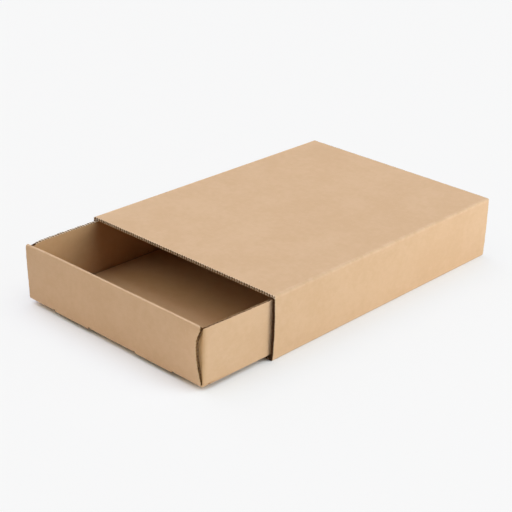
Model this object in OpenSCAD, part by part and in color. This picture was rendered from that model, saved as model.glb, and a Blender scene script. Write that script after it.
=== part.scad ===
// Cardboard slide box: a shallow tray in an open-ended sleeve, each folded from
// one sheet of brown fine-flute corrugated board. The tray is drawn part way out.
// Millimetres. The origin is the centre of the sleeve's bottom face. X runs
// across the width, Y along the length to the back, Z up. The tray pulls to -Y.

/* [Overall size] */
// Outer width of the sleeve
sleeve_w = 130; // [90:1:200]
// Outer length of the sleeve from the mouth to the back
sleeve_l = 178; // [120:1:260]
// Outer height of the sleeve
sleeve_h = 35; // [24:1:70]

/* [Board] */
// Thickness of the corrugated board
board_t = 1.4; // [1.2:0.1:1.8]
// Distance from one flute to the next
flute_pitch = 3.3; // [3:0.1:4]
// Thickness of each flat liner
liner_t = 0.25; // [0.2:0.05:0.3]
// Thickness of the waved medium between the liners
medium_t = 0.2; // [0.15:0.05:0.25]
// Flat, crushed strip beside each fold where the flutes are closed
crush_w = 1.2; // [0.8:0.1:2]

/* [Sleeve joint] */
// Width of the glued lap that closes the sleeve
lap_w = 25; // [12:1:35]
// Thickness of the lap, pressed flat under the glue
lap_t = 0.65; // [0.5:0.05:0.8]

/* [Fit of the tray] */
// How far the tray stands out of the mouth
pull_out = 45; // [0:1:110]
// Free play at each side of the tray
side_play = 0.3; // [0.2:0.1:1]
// Free play between the tray and the lap below it
floor_play = 0.4; // [0.1:0.05:0.8]
// Free play between the tray and the sleeve's top panel
top_play = 0.3; // [0.15:0.05:1]
// How much shorter the tray is than the sleeve
end_play = 1; // [0.5:0.5:3]

/* [Tray walls] */
// How far the side walls stay below the ridge of the end walls
side_drop = 0.6; // [0.4:0.1:2.5]
// Inner radius of the upright corner bends
bend_r = 0.4; // [0.2:0.1:2.4]
// Length of the corner flaps inside the double end walls
flap_l = 38; // [15:1:42]
// Fall of the corner bend's cut top edge for each millimetre
bend_fall = 0.35; // [0:0.05:0.8]
// Gap between two plies of a double end wall
ply_gap = 0.15; // [0.1:0.05:0.4]
// How far the outer ply's cut ends stay inside the tray's width
end_inset = 0.8; // [0.3:0.1:2]
// Slope of the strip that falls from the ridge to the inner ply, in degrees
strip_slope = 45; // [40:1:60]

/* [Lock tabs] */
// Distance of each lock tab from the middle of the end wall
tab_offset = 30; // [18:1:30]
// Width of each lock tab
tab_w = 27; // [12:1:27]
// Free length of the slot beyond each end of the tab
slot_play = 0.5; // [0.3:0.1:1]
// Width of the nick at each end of a slot in the fold line
nick_w = 1.2; // [0.6:0.1:2]

/* [Hidden] */
eps = 0.01;
half_pitch = flute_pitch / 2;
chan_h = board_t - 2 * liner_t - medium_t;
chan_run = 0.24 * flute_pitch;
chan_lean = sqrt(chan_run * chan_run + chan_h * chan_h);
chan_mid = half_pitch - (medium_t * chan_lean - medium_t * chan_run) / chan_h;
chan_foot = chan_mid + chan_run;
chan_head = chan_mid - chan_run;
crush = board_t + crush_w;
tray_w = sleeve_w - 2 * board_t - 2 * side_play;
tray_l = sleeve_l - end_play;
tray_z = board_t + lap_t + floor_play;
tray_h = sleeve_h - board_t - top_play - tray_z;
wall_top = tray_h - side_drop;
corner_r = board_t + bend_r;
flap_y = board_t + ply_gap;
bend_y = flap_y + corner_r;
ply_y = flap_y + board_t + ply_gap;
strip_fall = (ply_y - board_t) * tan(strip_slope);
ply_top = tray_h - board_t - strip_fall;
flap_top = ply_top - 0.3;
floor_z = board_t + ply_gap;
outer_w = tray_w - 2 * end_inset;
inner_w = tray_w - 2 * corner_r;
slot_w = tab_w + 2 * slot_play;
tongue_w = slot_w - 2 * nick_w;
slot_back = ply_y + board_t + 0.25;
board_color = "#C69C6D";

// Open channels of one flat panel, standing on the two liners in turn, so that
// the waved medium is left as a zigzag between them.
module channels(span) {
  n = floor((span - chan_foot) / half_pitch);
  for (i = [0 : n]) {
    up = i % 2 == 0;
    translate([(i - n / 2) * half_pitch, up ? liner_t : board_t - liner_t])
      mirror([0, up ? 0 : 1])
        polygon([[-chan_foot / 2, 0], [chan_foot / 2, 0], [chan_head / 2, chan_h], [-chan_head / 2, chan_h]]);
  }
}

// Quarter disc of a creased fold; its sharp inner corner lies at the origin.
module fold(turn) {
  rotate(turn)
    intersection() {
      circle(r = board_t, $fn = 32);
      square(board_t);
    }
}

// Cross-section of the sleeve: the bottom panel's cut edge lies under the fold
// of the lap at the lower left.
module sleeve_section() {
  x_in = sleeve_w / 2 - board_t;
  z_in = sleeve_h - board_t;
  difference() {
    union() {
      translate([-sleeve_w / 2, 0])
        square([sleeve_w - board_t, board_t]);
      translate([x_in, board_t])
        fold(270);
      translate([x_in, board_t])
        square([board_t, z_in - board_t]);
      translate([x_in, z_in])
        fold(0);
      translate([-x_in, z_in])
        square([2 * x_in, board_t]);
      translate([-x_in, z_in])
        fold(90);
      translate([-x_in - board_t, 2 * board_t])
        square([board_t, z_in - 2 * board_t]);
      translate([-x_in, 2 * board_t])
        fold(180);
      translate([-x_in, board_t])
        square([lap_w, lap_t]);
    }
    channels(sleeve_w - 2 * crush);
    translate([0, z_in])
      channels(sleeve_w - 2 * crush);
    translate([sleeve_w / 2, sleeve_h / 2])
      rotate(90)
        channels(sleeve_h - 2 * crush);
    translate([-x_in, sleeve_h / 2 + board_t / 2])
      rotate(90)
        channels(sleeve_h - 2 * crush - board_t);
  }
}

module sleeve() {
  color(board_color)
    rotate([90, 0, 0])
      linear_extrude(height = sleeve_l, center = true)
        sleeve_section();
}

// Right side wall in plan, its upright flutes open at the cut top edge.
module side_wall() {
  run = tray_l - 2 * bend_y;
  translate([tray_w / 2, tray_l / 2, board_t])
    linear_extrude(height = wall_top - board_t)
      rotate(90)
        difference() {
          translate([-run / 2, 0])
            square([run, board_t]);
          channels(run - 2 * crush_w);
        }
  translate([tray_w / 2 - board_t, tray_l - bend_y, board_t])
    rotate([90, 0, 0])
      linear_extrude(height = run)
        fold(270);
}

// Corner bend at the front right, with its top edge cut on a slight slope.
module corner_bend() {
  difference() {
    translate([tray_w / 2 - corner_r, bend_y, floor_z])
      linear_extrude(height = wall_top - floor_z)
        intersection() {
          difference() {
            circle(r = corner_r, $fn = 48);
            circle(r = bend_r, $fn = 48);
          }
          translate([0, -corner_r])
            square(corner_r);
        }
    translate([tray_w / 2 - corner_r - 1, 0, wall_top])
      rotate([90, 0, 90])
        linear_extrude(height = corner_r + 2)
          polygon([[bend_y, 0], [bend_y, 1], [0, 1], [0, -bend_fall * bend_y]]);
  }
}

// Flap that turns in from the corner bend and lies between the two plies.
module corner_flap() {
  translate([inner_w / 2 - flap_l, flap_y, floor_z])
    cube([flap_l + eps, board_t, flap_top - floor_z]);
}

// Outer ply of the front end wall with the fold of the ridge on top of it.
module outer_ply() {
  translate([-outer_w / 2, 0, 0])
    rotate([90, 0, 90])
      linear_extrude(height = outer_w)
        difference() {
          union() {
            translate([0, board_t])
              square([board_t, tray_h - 2 * board_t]);
            translate([board_t, tray_h - board_t])
              fold(90);
          }
          translate([board_t, tray_h / 2])
            rotate(90)
              channels(tray_h - 2 * crush);
        }
}

// Strip that falls from the ridge, and the inner ply that hangs from it.
module inner_ply() {
  ridge = [board_t, tray_h - board_t];
  knee = [ply_y, ply_top];
  rise = 90 - strip_slope;
  translate([-inner_w / 2, 0, 0])
    rotate([90, 0, 90])
      linear_extrude(height = inner_w)
        difference() {
          polygon(concat(
            [ridge],
            [for (i = [0 : 6]) let (a = 90 - i * (90 - rise) / 6) ridge + board_t * [cos(a), sin(a)]],
            [for (i = [0 : 6]) let (a = rise - i * rise / 6) knee + board_t * [cos(a), sin(a)]],
            [[ply_y + board_t, floor_z], [ply_y, floor_z], knee]
          ));
          translate([ply_y + board_t, (ply_top + floor_z) / 2])
            rotate(90)
              channels(ply_top - floor_z - 2 * crush_w);
        }
}

// Fold between the base and the front end wall, left out along the two slots,
// where the outer ply runs down as a straight cut tongue.
module front_fold() {
  side_run = outer_w / 2 - tab_offset - slot_w / 2;
  mid_run = 2 * tab_offset - slot_w;
  for (part = [[-outer_w / 2, side_run], [-mid_run / 2, mid_run], [outer_w / 2 - side_run, side_run]])
    translate([part[0], board_t, board_t])
      rotate([90, 0, 90])
        linear_extrude(height = part[1])
          fold(180);
  for (side = [-1, 1])
    translate([side * tab_offset - tongue_w / 2, 0, 0])
      cube([tongue_w, board_t, board_t + eps]);
}

// Lock tabs at the foot of the inner ply, standing in the slots of the base.
module lock_tabs() {
  for (side = [-1, 1])
    translate([side * tab_offset - tab_w / 2, ply_y, 0.1])
      cube([tab_w, board_t, floor_z + 1 - 0.1]);
}

module end_wall() {
  outer_ply();
  inner_ply();
  front_fold();
  lock_tabs();
}

module base() {
  difference() {
    translate([-tray_w / 2 + board_t, board_t, 0])
      cube([tray_w - 2 * board_t, tray_l - 2 * board_t, board_t]);
    for (side = [-1, 1])
      for (at = [board_t - 1, tray_l - slot_back])
        translate([side * tab_offset - slot_w / 2, at, -1])
          cube([slot_w, slot_back - board_t + 1, board_t + 2]);
  }
}

// Tray in its own frame: front face at y = 0, underside at z = 0.
module tray_body() {
  base();
  for (side = [0, 1])
    mirror([side, 0, 0]) {
      side_wall();
      for (end = [0, 1])
        translate([0, end * tray_l, 0])
          mirror([0, end, 0]) {
            corner_bend();
            corner_flap();
          }
    }
  end_wall();
  translate([0, tray_l, 0])
    mirror([0, 1, 0])
      end_wall();
}

module tray() {
  color(board_color)
    translate([0, -sleeve_l / 2 - pull_out, tray_z])
      tray_body();
}

sleeve();
tray();
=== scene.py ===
# Cardboard slide box: the looks of a corrugated sleeve and the tray that is drawn
# part way out of its mouth. Lengths are in millimetres until a mesh is made.
import math
import bpy
import numpy as np
from mathutils import Matrix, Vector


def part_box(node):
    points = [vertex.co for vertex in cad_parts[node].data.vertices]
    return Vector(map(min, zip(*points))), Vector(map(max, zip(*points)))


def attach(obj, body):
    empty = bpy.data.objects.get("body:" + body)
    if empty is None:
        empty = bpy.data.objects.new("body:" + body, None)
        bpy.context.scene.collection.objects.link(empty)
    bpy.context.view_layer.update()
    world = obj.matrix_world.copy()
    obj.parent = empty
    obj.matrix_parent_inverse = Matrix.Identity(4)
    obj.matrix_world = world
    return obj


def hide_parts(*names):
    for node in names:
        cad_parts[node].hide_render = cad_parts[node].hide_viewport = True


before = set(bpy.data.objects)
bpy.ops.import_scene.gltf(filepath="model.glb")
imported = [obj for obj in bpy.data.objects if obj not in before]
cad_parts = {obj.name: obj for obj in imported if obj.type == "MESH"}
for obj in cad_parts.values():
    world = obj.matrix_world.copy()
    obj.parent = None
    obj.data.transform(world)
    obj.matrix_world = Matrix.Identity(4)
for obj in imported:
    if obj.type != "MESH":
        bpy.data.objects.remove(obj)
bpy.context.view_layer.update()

# Sleeve: an open-ended tube of brown fine-flute corrugated board. One sheet is
# creased along four folds and closed by a lap that is glued inside at the lower
# left. The flutes run along the tube, so their cut ends show all round the mouth.
MM = 0.001
BOARD = 1.4
LINER = 0.26
MEDIUM = 0.36
PITCH = 3.3
WAVE_STEPS = 14
WAVE_ROUND = 0.18
CRUSH = 1.5
FOLD_PRESS = 0.3
RIM = 0.3
SET_BACK = 0.12
FRAY = 0.1
SHARP = math.radians(38)


def trace(start, heading, runs, s):
    """Points and inward normals at the distances s along a chain of straight runs
    and round folds, each given as (length, turn in degrees) and turning left. A run
    of bend k leaves its start at heading h as a chord of length u sinc(k u / 2) in
    the direction h + k u / 2; the inward normal is the heading turned left."""
    length = np.array([run[0] for run in runs])
    bend = np.radians([run[1] for run in runs]) / length
    ends = np.concatenate([[0], np.cumsum(length)])
    heads = math.radians(heading) + np.concatenate([[0], np.cumsum(length * bend)])

    def leg(head, bend, u):
        chord = u * np.sinc(bend * u / (2 * np.pi))
        middle = head + bend * u / 2
        return np.stack([chord * np.cos(middle), chord * np.sin(middle)], -1)

    knots = np.array(start) + np.concatenate([[[0, 0]], np.cumsum(leg(heads[:-1], bend, length), 0)])
    i = np.clip(np.searchsorted(ends, s, "right") - 1, 0, len(runs) - 1)
    u = s - ends[i]
    head = heads[i] + bend[i] * u
    return knots[i] + leg(heads[i], bend[i], u), np.stack([-np.sin(head), np.cos(head)], -1)


def near(s, spans, reach):
    """1 within each span of s, easing down to 0 at the reach beyond it by the cubic
    3 u^2 - 2 u^3 of the part u of the reach that is left."""
    gap = np.min([np.maximum(np.abs(s - (a + b) / 2) - (b - a) / 2, 0) for a, b in spans], 0)
    u = np.clip(1 - gap / reach, 0, 1)
    return u * u * (3 - 2 * u)


def stations(runs, step, arc_steps=8):
    """Distances along a chain of runs: about one per step on the straight runs and
    arc_steps of them round each fold, with every joint between two runs among them."""
    at, marks = 0, [np.zeros(1)]
    for length, turn in runs:
        n = arc_steps if turn else max(1, round(length / step))
        marks.append(at + length * np.arange(1, n + 1) / n)
        at += length
    return np.concatenate(marks)


def wave_stations(length, inset=0.15):
    """Distances for the waved medium, WAVE_STEPS to a flute, that begin at the inset
    and stop just inside the far edge of the sheet."""
    return np.arange(inset, length - 0.1, PITCH / WAVE_STEPS)


def ragged(s, seed, size):
    """Fibrous outline of a knife cut: four sines of random length and phase."""
    rng = np.random.default_rng(seed)
    waves = rng.uniform(0.35, 2.6, 4)
    return size / 2 * sum(np.sin(w * s + p) for w, p in zip(waves, rng.uniform(0, 6.3, 4)))


def slab(front, back):
    """Closed skin of the space between two facing grids of points, rows by columns:
    the front grid, the back grid turned over, and a band of quads round the border.
    All are turned over where the sum that is six times its volume is negative."""
    rows, columns = front.shape[:2]
    i = np.arange(rows * columns).reshape(rows, columns)
    face = np.stack([i[:-1, :-1], i[:-1, 1:], i[1:, 1:], i[1:, :-1]], -1).reshape(-1, 4)
    ring = np.concatenate([i[0, :-1], i[:-1, -1], i[-1, :0:-1], i[:0:-1, 0]])
    after = np.roll(ring, -1)
    band = np.stack([after, ring, ring + i.size, after + i.size], -1)
    quads = np.concatenate([face, face[:, ::-1] + i.size, band])
    points = np.concatenate([front.reshape(-1, 3), back.reshape(-1, 3)])
    a, b, c, d = (points[quads[:, k]] for k in range(4))
    volume = np.sum(a * (np.cross(b, c) + np.cross(c, d)))
    return points, quads if volume > 0 else quads[:, ::-1]


def plies(s, fine, thick, place, rows, fine_rows, length):
    """The three papers of a corrugated sheet as closed skins: an outer and an inner
    liner, and between them the medium, a wave sin p / sqrt(k + (1 - k) sin^2 p) of one
    pitch per flute, where k is WAVE_ROUND and the height is what the liners leave free.
    place(s, depth, r) gives points, thick the board's thickness at s, and the outer
    rows are RIM wide."""
    r, t = np.linspace(0, 1, rows)[:, None], thick(s)
    wave_r, u = np.linspace(0, 1, fine_rows)[:, None], thick(fine)
    r[1], r[-2] = wave_r[1], wave_r[-2] = RIM / length, 1 - RIM / length
    swing = np.maximum(u - 2 * LINER - MEDIUM, 0.01) / 2
    wave = np.sin(2 * np.pi * fine / PITCH)
    middle = u / 2 + swing * wave / np.sqrt(WAVE_ROUND + (1 - WAVE_ROUND) * wave ** 2)
    lean = np.sqrt(1 + np.gradient(middle, fine) ** 2)
    half = np.minimum(MEDIUM / 2 * lean, u / 2 - LINER)
    outer = slab(place(s, 0 * s, r), place(s, 0 * s + LINER, r))
    inner = slab(place(s, t - LINER, r), place(s, t, r))
    medium = slab(place(fine, middle - half, wave_r, SET_BACK), place(fine, middle + half, wave_r, SET_BACK))
    return outer, inner, medium


def face_marks(rows, s, outer, inner, first=None, last=None):
    """A number per vertex of a skin of so many rows and a column for each s: one for
    its outer and one for its inner face, and others for the first and last row, which
    are its cut edges, where they are given. Each may differ from column to column."""
    values = np.zeros((2, rows, s.size))
    values[0], values[1] = outer, inner
    if first is not None:
        values[:, 0] = first
    if last is not None:
        values[:, -1] = last
    return values.ravel()


def piece(name, skins, marks, body, node):
    """Mesh object in metres of several closed skins. marks has a list for each thing
    that the paper reads, with a number per vertex of every skin: the way across the
    flutes, the wear of folds with a painted highlight on the end walls' ridge, the cut
    edges with painted shade in their flute hollows, how brown the paper is, partly as
    painted shade, and how much painted shade it carries."""
    start = np.cumsum([0] + [len(points) for points, _ in skins])
    points = np.concatenate([skin[0] for skin in skins]) * MM
    quads = np.concatenate([skin[1] + at for skin, at in zip(skins, start)])
    mesh = bpy.data.meshes.new(name)
    mesh.vertices.add(len(points))
    mesh.vertices.foreach_set("co", points.astype(np.float32).ravel())
    mesh.loops.add(quads.size)
    mesh.loops.foreach_set("vertex_index", quads.astype(np.int32).ravel())
    mesh.polygons.add(len(quads))
    mesh.polygons.foreach_set("loop_start", np.arange(0, quads.size, 4, dtype=np.int32))
    mesh.polygons.foreach_set("use_smooth", np.ones(len(quads), bool))
    mesh.update(calc_edges=True)
    mesh.validate()
    mesh.set_sharp_from_angle(angle=SHARP)
    for mark, values in marks.items():
        layer = mesh.attributes.new(mark, "FLOAT", "POINT")
        layer.data.foreach_set("value", np.concatenate(values).astype(np.float32))
    obj = bpy.data.objects.new(name, mesh)
    bpy.context.scene.collection.objects.link(obj)
    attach(obj, body)
    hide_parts(node)
    return obj


sleeve_low, sleeve_high = ([v / MM for v in corner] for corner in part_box("sleeve"))
SLEEVE_W = sleeve_high[0] - sleeve_low[0]
SLEEVE_H = sleeve_high[2] - sleeve_low[2]
MOUTH_Y = sleeve_low[1]
BACK_Y = sleeve_high[1]
LAP_W = 25.0
LAP_T = 0.65
LAP_EASE = 1.5
FOLD_R = 1.0
ARC = FOLD_R * math.pi / 2
SIDE_BOW = 0.6
TOP_CROWN = 0.1
BOW_REACH = 35
SLEEVE_ROWS = 40
SLEEVE_WAVE_ROWS = 9
sleeve_runs = [
    (SLEEVE_W - FOLD_R, 0), (ARC, 90), (SLEEVE_H - 2 * FOLD_R, 0), (ARC, 90),
    (SLEEVE_W - 2 * FOLD_R, 0), (ARC, 90), (SLEEVE_H - BOARD - 2 * FOLD_R, 0), (ARC, 90), (LAP_W, 0),
]
sleeve_ends = np.cumsum([0] + [run[0] for run in sleeve_runs])
sleeve_folds = [(sleeve_ends[i], sleeve_ends[i + 1]) for i in (1, 3, 5, 7)]


def outermost(part, steep):
    """0 up to one part in steep short of 1, and from there evenly up to 1."""
    return np.clip(part * steep - (steep - 1), 0, 1)


def sleeve_bow(p):
    """Easy bow of the panels, each as half a sine across the panel: the sides stand
    out at mid height and the top crowns. Both are greatest at the mouth and ease to
    0.45 of that by an exponential of the way in."""
    x, y, z = p[..., 0], p[..., 1], p[..., 2]
    mouth = 0.45 + 0.55 * np.exp(-(y - MOUTH_Y) / BOW_REACH)
    side = np.sin(np.pi * np.clip(z / SLEEVE_H, 0, 1)) * outermost(np.abs(x) / (SLEEVE_W / 2), 8)
    crown = np.cos(np.pi * x / SLEEVE_W) * outermost(z / SLEEVE_H, 8)
    return p + np.stack([SIDE_BOW * mouth * side * np.sign(x), 0 * y, TOP_CROWN * mouth * crown], -1)


def sleeve_place(s, depth, r, recess=0.0):
    """Point of the sleeve's sheet: the section's path at s, moved in by the depth,
    carried from the mouth to the back as r goes from 0 to 1."""
    at, inward = trace((-SLEEVE_W / 2, 0), 0, sleeve_runs, s)
    q = at + depth[:, None] * inward
    first = MOUTH_Y + recess + ragged(s, 1, FRAY)
    last = BACK_Y - recess + ragged(s, 2, FRAY)
    y = first + (last - first) * r
    return sleeve_bow(np.stack([q[:, 0] + 0 * y, y, q[:, 1] + 0 * y], -1))


def sleeve_thick(s):
    """Board thickness round the sleeve: pressed by three tenths at the folds and to
    the lap's own thickness where the lap is glued down."""
    pressed = BOARD * (1 - FOLD_PRESS * near(s, sleeve_folds, CRUSH))
    lap = near(s, [(sleeve_ends[8] + LAP_EASE, sleeve_ends[9])], LAP_EASE)
    return pressed + (LAP_T - pressed) * lap


def mouth_rim_shade(s):
    """Painted shade on the cut edge round the mouth: dark on both sides, half as dark
    along the bottom and the lap, and none on the top."""
    top = near(s, [(sleeve_ends[4] - 1.5, sleeve_ends[5] + 1.5)], 1.0)
    bottom = near(s, [(sleeve_ends[0], sleeve_ends[1] - 1.5), (sleeve_ends[8], sleeve_ends[9])], 1.0)
    return 1 - top - 0.5 * bottom


sleeve_s = stations(sleeve_runs, 1.1)
sleeve_fine = wave_stations(sleeve_ends[9])
sleeve_outer, sleeve_inner, sleeve_medium = plies(
    sleeve_s, sleeve_fine, sleeve_thick, sleeve_place, SLEEVE_ROWS, SLEEVE_WAVE_ROWS, BACK_Y - MOUTH_Y)
sleeve_crease = near(sleeve_s, sleeve_folds, 0.9)
sleeve_rim_shade = mouth_rim_shade(sleeve_s)
# Painted shade on the sleeve's inner face: full over the bottom panel at the mouth, fading within about a
# centimetre, and three tenths deep everywhere else. The inner liner is also painted browner, and the faces
# towards the flutes and the medium lie in deep painted shade.
mouth_floor_shade = np.exp(-np.linspace(0, 20, SLEEVE_ROWS))[:, None] * near(sleeve_s, [(0, sleeve_ends[2])], 1.0)
sleeve_liners = piece("sleeve_liners", [sleeve_outer, sleeve_inner], {
    "across": [face_marks(SLEEVE_ROWS, sleeve_s, sleeve_s, sleeve_s)] * 2,
    "fold": [face_marks(SLEEVE_ROWS, sleeve_s, sleeve_crease, sleeve_crease)] * 2,
    "cut": [face_marks(SLEEVE_ROWS, sleeve_s, 0, 0, 1, 1)] * 2,
    "inside": [face_marks(SLEEVE_ROWS, sleeve_s, 0, 0), face_marks(SLEEVE_ROWS, sleeve_s, 2, 2)],
    "shade": [face_marks(SLEEVE_ROWS, sleeve_s, 0, 1, sleeve_rim_shade, 0),
              face_marks(SLEEVE_ROWS, sleeve_s, 1, np.maximum(mouth_floor_shade, 0.3), sleeve_rim_shade, 0)],
}, "sleeve", "sleeve")
sleeve_flutes = piece("sleeve_flutes", [sleeve_medium], {
    "across": [face_marks(SLEEVE_WAVE_ROWS, sleeve_fine, sleeve_fine, sleeve_fine)],
    "cut": [face_marks(SLEEVE_WAVE_ROWS, sleeve_fine, 0, 0, 1, 1)],
    "shade": [face_marks(SLEEVE_WAVE_ROWS, sleeve_fine, 1, 1, mouth_rim_shade(sleeve_fine), 0)],
}, "sleeve", "sleeve")


class Wire:
    """One socket of a shader tree. Arithmetic on it adds Math nodes; node() adds any
    other node from its type, its settings and the values or wires of its sockets."""

    def __init__(self, tree, socket=None):
        self.tree, self.socket = tree, socket

    def node(self, kind, settings=None, sockets=None, out=0):
        made = self.tree.nodes.new(kind)
        for name, value in (settings or {}).items():
            setattr(made, name, value)
        for name, value in (sockets or {}).items():
            if isinstance(value, Wire):
                self.tree.links.new(value.socket, made.inputs[name])
            else:
                made.inputs[name].default_value = value
        return Wire(self.tree, made.outputs[out] if made.outputs else None)

    def math(self, operation, *values):
        return self.node("ShaderNodeMath", {"operation": operation}, dict(enumerate(values)))

    def __add__(self, other):
        return self.math("ADD", self, other)

    def __sub__(self, other):
        return self.math("SUBTRACT", self, other)

    def __mul__(self, other):
        return self.math("MULTIPLY", self, other)

    def __rsub__(self, other):
        return self.math("SUBTRACT", other, self)

    __radd__ = __add__
    __rmul__ = __mul__

    def step(self, low, high):
        """0 below low, 1 above high, smooth between them."""
        return self.node("ShaderNodeMapRange", {"interpolation_type": "SMOOTHSTEP"},
                         {"Value": self, "From Min": low, "From Max": high})

    def tint(self, under, over):
        """Colour that goes from under to over as this wire goes from 0 to 1."""
        return self.node("ShaderNodeMix", {"data_type": "RGBA"}, {0: self, 6: under, 7: over}, 2)


def srgb(r, g, b):
    """Linear colour with alpha of an 8-bit screen colour."""
    c = np.array([r, g, b]) / 255
    return (*np.where(c <= 0.04045, c / 12.92, ((c + 0.055) / 1.055) ** 2.4), 1.0)


def noise(start, vector, scale, detail, rough):
    """Fractal noise around a half, with so many features to the metre."""
    return start.node("ShaderNodeTexNoise", {}, {
        "Vector": vector, "Scale": scale, "Detail": detail, "Roughness": rough})


FIBRE_SCALE = 1500
BLOTCH_SCALE = 260
SPECK_SCALE = 210
CLOUD_SCALE = 45
INNER_BROWN_AND_SHADE = srgb(182, 136, 78)
CUT_WEB = srgb(244, 224, 198)
CUT_HOLLOW_SHADE = srgb(92, 58, 32)
DARK_FLECK = srgb(104, 76, 50)
LIGHT_FLECK = srgb(238, 222, 198)
DEEP_SHADE = srgb(86, 50, 22)


def paper(name, base, dark, light, flecks, washboard):
    """Brown board liner. The colour drifts in soft clouds, fine fibres lie in two
    directions, and a few dark and light flecks are pressed in. Paper marked inside is
    browner: the inner liner's own tint, and painted shade in bends, cut ends and the
    sleeve's inside. Folds are rubbed lighter, and on the end walls' ridge that is also
    a painted highlight. A cut edge is light at the flutes' webs and painted in shade
    at their hollows, where the squared sine of the way across is near 1. Paper marked
    as shaded nears a deep brown, a painted shade. The bump joins fibres, clouds and
    the flutes below."""
    material = bpy.data.materials.new(name)
    material.use_nodes = True
    tree = material.node_tree
    tree.nodes.clear()
    start = Wire(tree)
    spot = start.node("ShaderNodeTexCoord", out=3)
    across, fold, cut, inside, shaded = (
        start.node("ShaderNodeAttribute", {"attribute_name": mark}, out=2)
        for mark in ("across", "fold", "cut", "inside", "shade"))
    fibres = []
    for stretch in ((0.22, 1, 1), (1, 0.22, 0.6)):
        run = start.node("ShaderNodeMapping", {}, {"Vector": spot, "Scale": stretch})
        fibres.append(noise(start, run, FIBRE_SCALE, 2.0, 0.6))
    fibre = (fibres[0] + fibres[1]) * 0.5
    cloud = noise(start, spot, CLOUD_SCALE, 3.0, 0.55)
    blotch = noise(start, spot, BLOTCH_SCALE, 3.0, 0.6)
    colour = (cloud * 0.55 + blotch * 0.45).step(0.36, 0.64).tint(dark, base)
    colour = (fibre.step(0.42, 0.72) * 0.13).tint(colour, light)
    # Browner paper: the inner liner's own tint, and painted shade in bends, cut ends and the sleeve's
    # inside.
    colour = (inside * 0.3).tint(colour, INNER_BROWN_AND_SHADE)
    # Rubbed folds, and on the end walls' ridge a painted highlight, tint towards the light colour.
    rub_and_highlight = fold * (0.35 + 0.65 * blotch.step(0.4, 0.62))
    colour = (rub_and_highlight * 0.3).tint(colour, light)
    wave = start.math("SINE", across * (2 * math.pi / PITCH))
    hollow = (wave * wave).step(0.42, 0.82)
    colour = (cut * (1 - hollow)).tint(colour, CUT_WEB)
    # Painted shade: the cut edge darkens at the open flute hollows.
    colour = (cut * hollow * 0.9).tint(colour, CUT_HOLLOW_SHADE)
    cells = {"Vector": spot, "Scale": SPECK_SCALE}
    speck = start.node("ShaderNodeTexVoronoi", {"feature": "F1"}, cells, 0)
    chance = start.node("ShaderNodeTexVoronoi", {"feature": "F1"}, cells, 1)
    pick = start.node("ShaderNodeSeparateColor", {}, {"Color": chance}, 0)
    small = 1 - speck.step(0.03, 0.075)
    colour = (small * pick.step(1 - flecks, 1 - flecks * 0.8)).tint(colour, DARK_FLECK)
    colour = (small * (1 - pick.step(flecks * 0.5, flecks * 0.7)) * 0.8).tint(colour, LIGHT_FLECK)
    height = fibre * 0.35 + blotch * 0.4 + wave * washboard
    bump = start.node("ShaderNodeBump", {}, {"Height": height, "Strength": 0.13, "Distance": 0.0001})
    lit = start.node("ShaderNodeBsdfPrincipled", {}, {
        "Base Color": colour, "Roughness": 0.74 + 0.16 * blotch, "Specular IOR Level": 0.35, "Normal": bump})
    # Painted shade: paper marked as shaded is mixed towards a flat deep brown.
    deep = start.node("ShaderNodeBsdfDiffuse", {}, {"Color": DEEP_SHADE})
    look = start.node("ShaderNodeMixShader", {}, {0: shaded * 0.92, 1: lit, 2: deep})
    start.node("ShaderNodeOutputMaterial", {}, {"Surface": look})
    return material


liner_paper = paper(
    "brown_liner_paper", srgb(214, 177, 139), srgb(209, 171, 132), srgb(228, 198, 166),
    flecks=0.012, washboard=0.25)
medium_paper = paper(
    "fluting_paper", srgb(204, 166, 126), srgb(188, 148, 108), srgb(216, 182, 144),
    flecks=0.01, washboard=0.0)
sleeve_liners.data.materials.append(liner_paper)
sleeve_flutes.data.materials.append(medium_paper)

# Tray: one sheet of the same board, folded up into a shallow box. The side walls
# bend round the corners into flaps, and each end wall rolls over those flaps and
# locks with two tabs in the base. This part is the base with its side creases.
tray_low, tray_high = ([v / MM for v in corner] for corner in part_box("tray"))
TRAY_W = tray_high[0] - tray_low[0]
TRAY_L = tray_high[1] - tray_low[1]
TRAY_H = tray_high[2] - tray_low[2]
PLY_GAP = 0.15
CORNER_R = BOARD + 0.4
SIDE_DROP = 0.6
WALL_TOP = TRAY_H - SIDE_DROP
FLAP_Y = BOARD + PLY_GAP
BEND_Y = FLAP_Y + CORNER_R
PLY_Y = FLAP_Y + BOARD + PLY_GAP
BASE_Y = PLY_Y + BOARD + 0.25
DOME = 0.7
DOME_EASE = 18
WALL_BOW = 0.2
FRONT_LEAN = 0.45
LEAN_REACH = 60
BASE_GROOVE = 0.6
BASE_ROWS = 60


def tray_set(p):
    """Carries a point of the tray's own frame to its place and bends the sheet a
    little: the base domes by a quarter sine of the way in from each edge, the side
    walls bow out by half a sine both ways, and the front leans evenly to the left by
    the play in the sleeve."""
    x, y, z = p[..., 0], p[..., 1], p[..., 2]
    along = np.sin(np.pi * np.clip(y / TRAY_L, 0, 1))
    within = np.clip((TRAY_W / 2 - 2.5 - np.abs(x)) / DOME_EASE, 0, 1)
    ends = np.clip((np.minimum(y, TRAY_L - y) - 6) / DOME_EASE, 0, 1)
    dome = DOME * np.sin(within * np.pi / 2) * np.sin(ends * np.pi / 2) * (z < BOARD + 0.1)
    side = outermost(np.abs(x) / (TRAY_W / 2), 10) * np.sin(np.pi * np.clip(z / WALL_TOP, 0, 1))
    lean = -FRONT_LEAN * np.clip(1 - y / LEAN_REACH, 0, 1)
    bow = np.stack([WALL_BOW * np.sign(x) * side * along + lean, 0 * y, dome], -1)
    return p + bow + np.array([0, tray_low[1], tray_low[2]])


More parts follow.
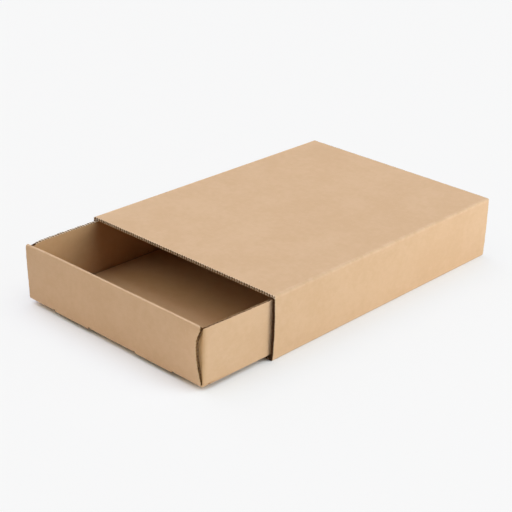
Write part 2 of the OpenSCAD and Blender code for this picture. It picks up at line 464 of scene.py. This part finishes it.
base_runs = [(ARC, 90), (TRAY_W - 2 * FOLD_R, 0), (ARC, 90)]
base_ends = np.cumsum([0] + [run[0] for run in base_runs])
base_folds = [(base_ends[0], base_ends[1]), (base_ends[2], base_ends[3])]


def base_place(s, depth, r):
    """Point of the base: across the tray from fold to fold at s, along it with r."""
    at, inward = trace((-TRAY_W / 2, FOLD_R), 270, base_runs, s)
    q = at + depth[:, None] * inward
    y = BASE_Y + (TRAY_L - 2 * BASE_Y) * r + 0 * s
    return tray_set(np.stack([q[:, 0] + 0 * y, y, q[:, 1] + 0 * y], -1))


base_s = stations(base_runs, 2.0)
base_r = np.linspace(0, 1, BASE_ROWS)[:, None]
base_thick = BOARD - BASE_GROOVE * near(base_s, base_folds, CRUSH)
base_skin = slab(base_place(base_s, 0 * base_s, base_r), base_place(base_s, base_thick, base_r))
base_crease = near(base_s, base_folds, 0.9)
# Along both inner creases the base is painted with a line of shade, easing out over about two millimetres.
tray_base = piece("tray_base", [base_skin], {
    "across": [face_marks(BASE_ROWS, base_s, TRAY_L * base_r, TRAY_L * base_r)],
    "fold": [face_marks(BASE_ROWS, base_s, base_crease, base_crease)],
    "inside": [face_marks(BASE_ROWS, base_s, 0, 1)],
    "shade": [face_marks(BASE_ROWS, base_s, 0, 0.85 * near(base_s, base_folds, 1.9), 0, 0)],
}, "tray", "tray")
tray_base.data.materials.append(liner_paper)

# Side walls: single board with upright flutes that are open along the cut top
# edge. Round each corner the wall bends sharply and goes on as a flap inside the
# rolled end wall. The front bends sit too far forward and push that wall out.
FLAP_L = 38.0
BEND_FALL = 0.35
FLOOR_Z = BOARD + PLY_GAP
STRIP_FALL = PLY_Y - BOARD
KNEE_Z = TRAY_H - BOARD - STRIP_FALL
FLAP_TOP = KNEE_Z - 0.3
BEND_ARC = CORNER_R * math.pi / 2
WALL_ROWS = 14
WALL_WAVE_ROWS = 6
OUTER_ENDS = (-TRAY_W / 2 + 0.1, TRAY_W / 2 - 1.9)
PUSH = {1: 2.8, -1: 1.2}
PUSH_REACH = 14
RISE = {1: (0.05, -0.5), -1: (0.6, 0.5)}
RISE_Y = (0, 45)
SLUMP = {1: 0.0, -1: 1.1}
SLUMP_REACH = 3.5
PUSH_Z = [0, 7.5, 16.8, 19.5, 25.2, 28.7, 30.8]
PUSH_RIGHT = [0, 0.4, 0.93, 1, 1, 0.22, 0]
PUSH_LEFT = [0, 0.3, 0.7, 0.8, 1, 1, 0.9]
wall_runs = [(FLAP_L, 0), (BEND_ARC, 90), (TRAY_L - 2 * BEND_Y, 0), (BEND_ARC, 90), (FLAP_L, 0)]
wall_ends = np.cumsum([0] + [run[0] for run in wall_runs])
wall_bends = [(wall_ends[1], wall_ends[2]), (wall_ends[3], wall_ends[4])]


def pushed(x, z):
    """How far the front wall is pushed out near its cut ends: the most at the right
    end, dying away as an exponential of a power of the distance from the end, and over
    the height along chains of straight pieces, of which the right one is smoothed by a
    running mean of five."""
    steps = (-0.6, -0.3, 0, 0.3, 0.6)
    right = PUSH[1] * np.exp(-(np.maximum(OUTER_ENDS[1] - x, 0) / 9) ** 1.2)
    left = PUSH[-1] * np.exp(-(np.maximum(x - OUTER_ENDS[0], 0) / 15) ** 1.3)
    right = right * sum(np.interp(z + o, PUSH_Z, PUSH_RIGHT) for o in steps) / 5
    return np.where(x > 0, right, left * np.interp(z, PUSH_Z, PUSH_LEFT))


def wall_place(s, depth, r, recess=0.0, side=1):
    """Point of a side wall with its bends and flaps: in plan along the path at s, in
    height from the fold to the cut edge as r goes from 0 to 1. The push is full where
    the bend starts, dies away along the wall, and on the flap it is the front wall's."""
    at, inward = trace((TRAY_W / 2 - CORNER_R - FLAP_L, FLAP_Y), 0, wall_runs, s)
    q = at + depth[:, None] * inward
    to_flap = np.clip((wall_ends[2] - s) / BEND_ARC, 0, 1)
    turned = to_flap + np.clip((s - wall_ends[3]) / BEND_ARC, 0, 1)
    flap = (turned >= 1) * 1.0
    past_bend = np.maximum(s - wall_ends[2], 0)
    not_back = s < wall_ends[3]
    foot = FOLD_R + (FLOOR_Z - FOLD_R) * (turned > 0)
    top = WALL_TOP - BEND_FALL * BEND_Y * turned ** 2
    rise = np.interp(q[:, 1], RISE_Y, RISE[side])
    slump = SLUMP[side] * np.exp(-past_bend / SLUMP_REACH) * not_back
    top = top + rise * (1 - flap) - slump
    top = top + (FLAP_TOP - top) * flap - recess + ragged(s, 3 + side, FRAY)
    z = foot + (top - foot) * r
    x, y = side * q[:, 0] + 0 * z, q[:, 1] + 0 * z
    push = PUSH[side] * np.exp(-past_bend / PUSH_REACH) * not_back * (1 - to_flap)
    x = x - side * 0.2 * push
    y = y - push - pushed(x, z) * to_flap
    return tray_set(np.stack([x, y, z], -1))


def wall_thick(s):
    """Board thickness along a side wall, pressed a little at the two bends."""
    return BOARD * (1 - 0.12 * near(s, wall_bends, CRUSH))


def dark_rim(s):
    """1 on the flaps' top edges and round the front bend, where no light gets in."""
    return 1.0 * ((s < wall_ends[2] + 2.4) | (s > wall_ends[4]))


wall_s = stations(wall_runs, 1.4, 12)
wall_fine = wave_stations(wall_ends[5])
# Painted shade: round each front bend the wall is painted browner and dimmed, as the shade of the gap behind
# the front wall, and the flaps and the bend's inner side are painted in deep shade.
hidden = 1.0 * (np.abs(wall_s - wall_ends[5] / 2) > wall_ends[5] / 2 - FLAP_L)
corner = 1.0 * ((wall_s >= wall_ends[1]) & (wall_s <= wall_ends[2] + 0.9))
dark_bend = np.maximum(hidden, corner)
bend_near = near(wall_s, [(wall_ends[1], wall_ends[1] + BEND_ARC / 2)], 3.6)
bend_dim = np.maximum(hidden, 0.25 * bend_near)
wall_crease = 0.4 * near(wall_s, wall_bends, 0.5)
wall_skins, flute_skins = [], []
wall_marks = {mark: [] for mark in ("across", "fold", "cut", "inside", "shade")}
flute_marks = {mark: [] for mark in ("across", "cut", "shade")}
# The left wall's cut top edge shows light webs and painted shade in its flute hollows. The right one's inner
# liner and flutes are painted in half shade all along the cut edge. Faces towards the flutes are painted in
# deep shade.
for side, fresh_webs_shaded_hollows, outer_rim, inner_least, flute_least in (
        (-1, 1.0, dark_rim(wall_s), 0.0, 0.1), (1, 0.0, hidden, 0.5, 0.6)):
    outer, inner, medium = plies(
        wall_s, wall_fine, wall_thick,
        lambda s, depth, r, recess=0.0, side=side: wall_place(s, depth, r, recess, side),
        WALL_ROWS, WALL_WAVE_ROWS, WALL_TOP)
    wall_skins += [outer, inner]
    flute_skins.append(medium)
    inner_rim = np.maximum(dark_rim(wall_s), inner_least)
    flute_rim = np.maximum(dark_rim(wall_fine), flute_least)
    wall_marks["across"] += [face_marks(WALL_ROWS, wall_s, wall_s, wall_s)] * 2
    wall_marks["fold"] += [face_marks(WALL_ROWS, wall_s, wall_crease, wall_crease)] * 2
    wall_marks["cut"] += [face_marks(WALL_ROWS, wall_s, 0, 0, 0, fresh_webs_shaded_hollows)] * 2
    wall_marks["inside"] += [face_marks(WALL_ROWS, wall_s, 2.6 * bend_near, 2.6 * bend_near),
                             face_marks(WALL_ROWS, wall_s, 1, 1)]
    wall_marks["shade"] += [face_marks(WALL_ROWS, wall_s, bend_dim, 1, outer_rim, outer_rim),
                            face_marks(WALL_ROWS, wall_s, 1, dark_bend, inner_rim, inner_rim)]
    flute_marks["across"].append(face_marks(WALL_WAVE_ROWS, wall_fine, wall_fine, wall_fine))
    flute_marks["cut"].append(face_marks(WALL_WAVE_ROWS, wall_fine, 0, 0, 0, fresh_webs_shaded_hollows))
    flute_marks["shade"].append(face_marks(WALL_WAVE_ROWS, wall_fine, 1, 1, flute_rim, flute_rim))
tray_walls = piece("tray_side_walls", wall_skins, wall_marks, "tray", "tray")
tray_walls.data.materials.append(liner_paper)
wall_flutes = piece("tray_side_flutes", flute_skins, flute_marks, "tray", "tray")
wall_flutes.data.materials.append(medium_paper)

# End walls: the outer ply stands up from a fold of the base, rolls over a narrow
# ridge and drops inside as a second ply. The two slots lie on the fold itself, so
# a straight cut tongue and a nick at each of its ends show in the bottom edge.
RIDGE_ENDS = (-TRAY_W / 2 + 0.1, TRAY_W / 2 - 3.0)
PLY_ENDS = (-TRAY_W / 2 + 3.2, TRAY_W / 2 - 3.0)
FOOT_END = TRAY_W / 2 - 0.9
FOOT_SLANT = 9
RIDGE_R = 0.8
END_FRAY = 0.06
TAB_AT = 30.0
TAB_HALF = 13.5
SLOT_HALF = 14.0
NICK = 1.2
TONGUE_HALF = SLOT_HALF - NICK
END_ROWS = 72
END_WAVE_ROWS = 24
RIDGE_ARC = RIDGE_R * math.radians(135)
STRIP_DROP = STRIP_FALL + (BOARD - RIDGE_R) * (1 + math.sqrt(0.5))
KNEE_ARC = BOARD * math.radians(45)
end_runs = [
    (TRAY_H - RIDGE_R - FOLD_R, 0), (RIDGE_ARC, 135), (STRIP_DROP * math.sqrt(2), 0), (KNEE_ARC, 45),
    (KNEE_Z - FLOOR_Z - (BOARD - RIDGE_R) * math.sqrt(2), 0),
]
end_ends = np.cumsum([0] + [run[0] for run in end_runs])
ridge_fold = (end_ends[1], end_ends[2])
knee_fold = (end_ends[3], end_ends[4])
ridge_top = (end_ends[1] + 0.4 * RIDGE_ARC, end_ends[1] + 0.7 * RIDGE_ARC)


def end_place(s, depth, r, recess=0.0, front=True):
    """Point of an end wall: in section along the path at s, across the tray with r.
    Its cut ends shift from the outer ply's to the ridge's and on to the inner ply's,
    and the front one is pushed out, evenly less from the ridge to the knee."""
    at, inward = trace((0, FOLD_R), 90, end_runs, s)
    q = at + depth[:, None] * inward
    narrow = np.clip((s - end_ends[1]) / RIDGE_ARC * 1.5 - 0.25, 0, 1)
    inner = np.clip(s - end_ends[2], 0, 1)
    ends = [a + (b - a) * narrow + (c - b) * inner for a, b, c in zip(OUTER_ENDS, RIDGE_ENDS, PLY_ENDS)]
    cut = recess + ragged(s, 6, END_FRAY)
    slant = (FOOT_END - OUTER_ENDS[1]) * np.clip(1 - s / FOOT_SLANT, 0, 1)
    x = (ends[0] + cut) * (1 - r) + (ends[1] + slant - cut) * r
    y, z = -q[:, 0] + 0 * x, q[:, 1] + 0 * x
    if front:
        y = y - pushed(x, z) * np.clip((end_ends[3] - s) / (end_ends[3] - end_ends[1]), 0, 1)
    else:
        y = TRAY_L - y
    return tray_set(np.stack([x, y, z], -1))


def end_thick(s):
    """Board thickness over an end wall, pressed by half at the ridge and by three
    tenths at the knee, where the sloping strip meets the inner ply."""
    return BOARD * (1 - 0.5 * near(s, [ridge_fold], 0.9) - 0.3 * near(s, [knee_fold], 0.9))


end_s = stations(end_runs, 1.0)
end_fine = wave_stations(end_ends[5], 0.1)
# Round the ridge's crest the fold mark is rubbed paper and a painted highlight.
ridge_rub_and_highlight = near(end_s, [ridge_top], 0.3)
foot_runs = [(BASE_Y - FOLD_R, 0), (ARC, 90)]
foot_s = stations(foot_runs, 1.0)
foot_thick = BOARD * (1 - FOLD_PRESS * near(foot_s, [(foot_runs[0][0], foot_s[-1])], CRUSH))
foot_spans = (
    (OUTER_ENDS[0], -TAB_AT - SLOT_HALF), (SLOT_HALF - TAB_AT, TAB_AT - SLOT_HALF),
    (TAB_AT + SLOT_HALF, FOOT_END))


def foot_place(depth, x, front):
    """Point of the fold at the foot of an end wall, from the base round and up."""
    at, inward = trace((-BASE_Y, 0), 0, foot_runs, foot_s)
    q = at + depth[:, None] * inward
    y, z = -q[:, 0] + 0 * x, q[:, 1] + 0 * x
    return tray_set(np.stack([x + 0 * y, y if front else TRAY_L - y, z], -1))


def block(x, y, z, front):
    """Closed skin of a flat strip of board between two faces y, columns down z."""
    x = np.linspace(x[0], x[1], 14)[:, None]
    z = np.linspace(z[0], z[1], 3)[None, :]
    faces = [np.stack([x + 0 * z, (v if front else TRAY_L - v) + 0 * (x + z), z + 0 * x], -1) for v in y]
    return slab(tray_set(faces[0]), tray_set(faces[1]))


for front, label in ((True, "front"), (False, "back")):
    outer, inner, medium = plies(
        end_s, end_fine, end_thick,
        lambda s, depth, r, recess=0.0, front=front: end_place(s, depth, r, recess, front),
        END_ROWS, END_WAVE_ROWS, TRAY_W)
    skins = [outer, inner]
    for x0, x1 in foot_spans:
        x = np.linspace(x0, x1, 16)[:, None]
        skins.append(slab(foot_place(0 * foot_s, x, front), foot_place(foot_thick, x, front)))
    for middle in (-TAB_AT, TAB_AT):
        tongue = (middle - TONGUE_HALF, middle + TONGUE_HALF)
        tab = (middle - TAB_HALF, middle + TAB_HALF)
        skins.append(block(tongue, (0, BOARD), (0, FOLD_R + 0.01), front))
        skins.append(block(tab, (PLY_Y, PLY_Y + BOARD), (0.1, FLOOR_Z), front))
    plain = [np.zeros(len(skin[0])) for skin in skins[2:]]
    # On the end walls the faces towards the flutes are painted in deep shade, and the cut ends and the
    # medium are painted browner and partly shaded.
    wall = piece("tray_" + label + "_wall", skins, {
        "across": [face_marks(END_ROWS, end_s, end_s, end_s)] * 2 + plain,
        "fold": [face_marks(END_ROWS, end_s, ridge_rub_and_highlight, ridge_rub_and_highlight)] * 2 + plain,
        "cut": [face_marks(END_ROWS, end_s, 0, 0, 0.3, 0.3)] * 2 + plain,
        "inside": [face_marks(END_ROWS, end_s, 0, 0, 3, 3), face_marks(END_ROWS, end_s, 1, 1, 3, 3)] + plain,
        "shade": [face_marks(END_ROWS, end_s, 0, 1, 0.15, 0.15),
                  face_marks(END_ROWS, end_s, 1, 0, 0.4, 0.4)] + plain,
    }, "tray", "tray")
    wall.data.materials.append(liner_paper)
    flutes = piece("tray_" + label + "_flutes", [medium], {
        "across": [face_marks(END_WAVE_ROWS, end_fine, end_fine, end_fine)],
        "inside": [face_marks(END_WAVE_ROWS, end_fine, 3, 3)],
        "shade": [face_marks(END_WAVE_ROWS, end_fine, 1, 1, 0.5, 0.5)],
    }, "tray", "tray")
    flutes.data.materials.append(medium_paper)

# Studio: a pale floor that the lens sees lighter wherever the air above it is open,
# under a pale backdrop. Broad suns stand high and low on all sides, and a small panel
# lights the right side. The camera is where the photograph was taken from.
bpy.ops.mesh.primitive_plane_add(size=8)
floor = bpy.context.object
floor.name = "studio_floor"
floor_paint = bpy.data.materials.new("pale_floor")
floor_paint.use_nodes = True
floor_paint.node_tree.nodes.clear()
floor_start = Wire(floor_paint.node_tree)


def seen_by_lens(start):
    """1 for camera, glossy and transmission rays, which see a backdrop, else 0."""
    camera, glossy, through = (start.node("ShaderNodeLightPath", out=kind) for kind in (0, 3, 6))
    return start.math("MAXIMUM", start.math("MAXIMUM", camera, glossy), through)


matt = floor_start.node("ShaderNodeBsdfPrincipled", {}, {
    "Base Color": (0.93, 0.935, 0.955, 1), "Roughness": 0.9, "Specular IOR Level": 0.0})
glow = floor_start.node("ShaderNodeEmission", {}, {"Color": (0.937, 0.934, 0.93, 1), "Strength": 1.0})
open_air = floor_start.node("ShaderNodeAmbientOcclusion", {"samples": 12}, {"Distance": 0.034}, 1)
lift = floor_start.math("MINIMUM", open_air * 1.42 - 0.4, 0.92)
floor_look = floor_start.node("ShaderNodeMixShader", {}, {
    0: seen_by_lens(floor_start) * lift, 1: matt, 2: glow})
floor_start.node("ShaderNodeOutputMaterial", {}, {"Surface": floor_look})
floor.data.materials.append(floor_paint)

world = bpy.data.worlds.new("studio")
world.use_nodes = True
world.node_tree.nodes.clear()
sky = Wire(world.node_tree)
backdrop = sky.node("ShaderNodeBackground", {}, {
    "Color": (1, 1, 1, 1), "Strength": 0.01 + seen_by_lens(sky) * 0.92})
sky.node("ShaderNodeOutputWorld", {}, {"Surface": backdrop})
bpy.context.scene.world = world


def bearing(turn, height):
    """Unit vector towards a bearing, counted from +X towards +Y, and a height above
    the floor, both in degrees."""
    turn, height = math.radians(turn), math.radians(height)
    return np.array([math.cos(turn) * math.cos(height), math.sin(turn) * math.cos(height), math.sin(height)])


def stand(name, data, back, at=(0, 0, 0), roll=0.0):
    """Lamp or camera at a place in mm, with its back towards a unit vector. Its right
    is level and square to the back before both turn about the back by the roll, which
    is in degrees."""
    level = np.cross([0, 0, 1], back)
    level /= np.linalg.norm(level)
    up = np.cross(back, level)
    tip = math.radians(roll)
    right = level * math.cos(tip) + up * math.sin(tip)
    up = up * math.cos(tip) - level * math.sin(tip)
    obj = bpy.data.objects.new(name, data)
    turned = Matrix(np.stack([right, up, back], 1).tolist()).to_4x4()
    obj.matrix_world = Matrix.Translation(np.array(at) * MM) @ turned
    bpy.context.scene.collection.objects.link(obj)
    return obj


for name, turn, height, strength, angle, colour in (
        ("high_back", 150, 60, 0.06, 50, (1, 1.57, 2.9)),
        ("left", 180, 33, 0.38, 45, (1, 0.98, 1.1)),
        ("high_front", 240, 60, 0.17, 50, (1, 0.87, 0.79)),
        ("front", 245, 42, 0.145, 45, (1, 1.05, 0.84)),
        ("low_front", 240, 7, 0.15, 45, (1, 0.81, 0.63)),
        ("high_right", 30, 65, 0.29, 45, (1, 1.12, 1.18)),
        ("right", 35, 30, 0.165, 45, (1, 1.14, 1.05)),
        ("low_back", 37, 12, 0.395, 45, (1, 1, 1))):
    sun = bpy.data.lights.new(name, "SUN")
    sun.energy = strength * math.pi
    sun.angle = math.radians(angle)
    sun.color = colour
    stand(name, sun, bearing(turn, height))

PANEL_AT = np.array([350.0, 150.0, 60.0])
PANEL_AIM = np.array([65.0, 60.0, 17.0])
panel = bpy.data.lights.new("side_panel", "AREA")
panel.energy = 0.28
panel.size = 0.15
panel_back = (PANEL_AT - PANEL_AIM) / np.linalg.norm(PANEL_AT - PANEL_AIM)
panel_stand = stand("side_panel", panel, panel_back, PANEL_AT)
panel_stand.visible_camera = False

AZIMUTH = 42.39
ELEVATION = 24.77
ROLL = 1.90
TARGET = np.array([-4.09, -27.35, 13.0])
DISTANCE = 707.2
lens = bpy.data.cameras.new("camera")
lens.lens = 92.07
lens.sensor_width = 36
lens.clip_start = 0.01
lens_back = bearing(AZIMUTH - 90, ELEVATION)
camera = stand("camera", lens, lens_back, TARGET + lens_back * DISTANCE, ROLL)
bpy.context.scene.camera = camera
bpy.context.scene.view_settings.view_transform = "Standard"
